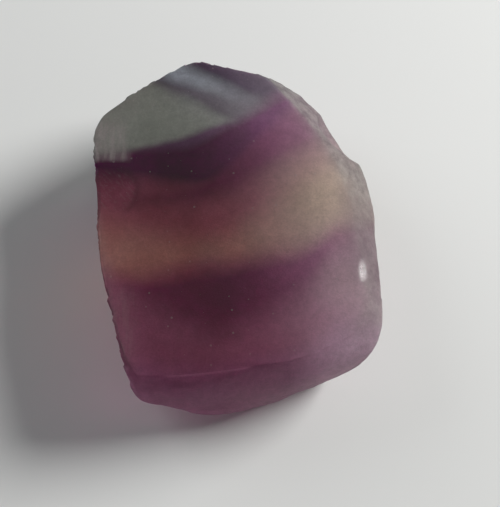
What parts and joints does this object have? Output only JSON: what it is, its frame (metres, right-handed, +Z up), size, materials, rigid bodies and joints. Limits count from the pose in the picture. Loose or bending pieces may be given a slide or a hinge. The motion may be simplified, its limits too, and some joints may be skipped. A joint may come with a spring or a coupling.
{
  "type": "raw fluorite",
  "caption": "Rough banded fluorite: a flat chunk of crystal with one large frosted face, steep broken walls and a small flat to rest on.",
  "frame": {"origin": "middle of the stone's outline, at the height of the flat patch that it lies on", "axes": "+Z up through the large face, +Y along the stone's length, +X across it"},
  "size_m": [0.032, 0.0398, 0.0125],
  "materials": {
    "banded_fluorite": "frosted, translucent, with straight green-grey, purple and salmon bands"
  },
  "bodies": {
    "root": {"fluorite": "banded_fluorite"}
  },
  "joints": []
}
